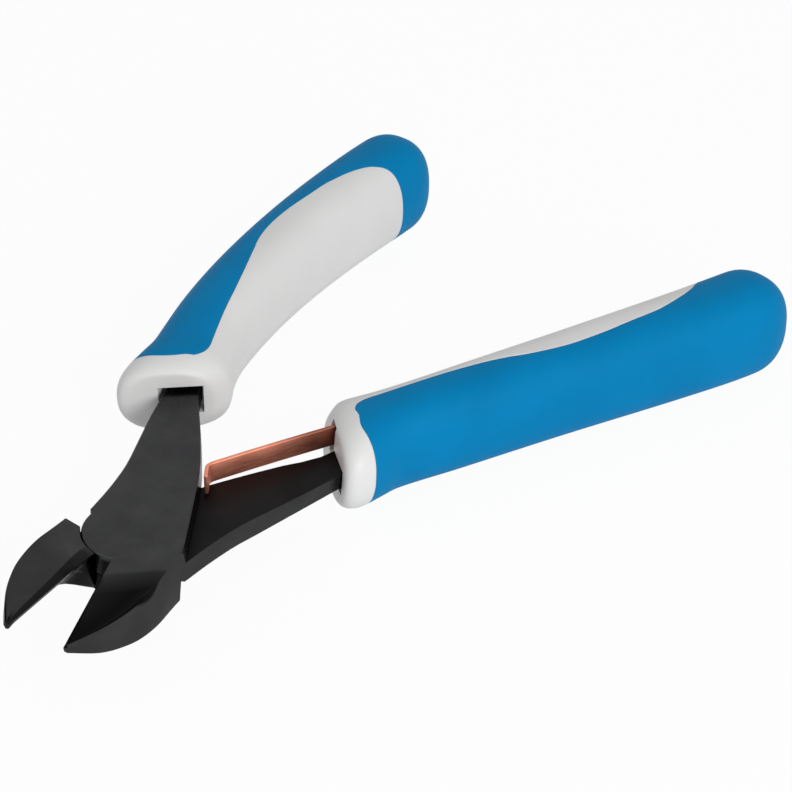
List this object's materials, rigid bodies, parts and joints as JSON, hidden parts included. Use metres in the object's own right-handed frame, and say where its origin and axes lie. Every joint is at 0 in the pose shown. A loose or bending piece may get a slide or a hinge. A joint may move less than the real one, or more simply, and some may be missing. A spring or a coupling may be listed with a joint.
{
  "type": "side cutters",
  "caption": "Lap-joint side cutters with dished diagonal cutting jaws, a copper-coloured leaf return spring and swept grips of hard core and soft cover.",
  "frame": {"origin": "on the pivot axis, at the flat back face of the lap joint", "axes": "+X along the jaws, away from the handles; +Z along the pivot, towards the front face of the joint; +Y towards the rear half's handle"},
  "size_m": [0.1741, 0.1076, 0.0262],
  "materials": {
    "blackened_steel": "blackened, fine satin",
    "rivet_steel": "blackened and ground flush",
    "spring_strip": "copper-coloured satin strip",
    "hard_core": "satin white",
    "soft_cover": "fine matt blue"
  },
  "bodies": {
    "rear": {"rear_half": "blackened_steel", "pivot_rivet": "rivet_steel", "rear_core": "hard_core", "rear_cover": "soft_cover"},
    "front": {"front_half": "blackened_steel", "front_core": "hard_core", "front_cover": "soft_cover"},
    "spring": {"leaf_spring": "spring_strip"}
  },
  "joints": [
    {"name": "pivot", "type": "hinge", "parent": "rear", "child": "front", "pos_m": [0, 0, 0], "axis": [0, 0, 1], "range_deg": [-22, 3], "stiffness_Nm_per_rad": 0.5},
    {"name": "leaf_swing", "type": "hinge", "parent": "rear", "child": "spring", "pos_m": [-0.0454, 0.0133, 0.0046], "axis": [0, 0, 1], "range_deg": [-3, 22]}
  ],
  "couplings": [
    {"joint": "leaf_swing", "follows": "pivot", "ratio": -1}
  ]
}
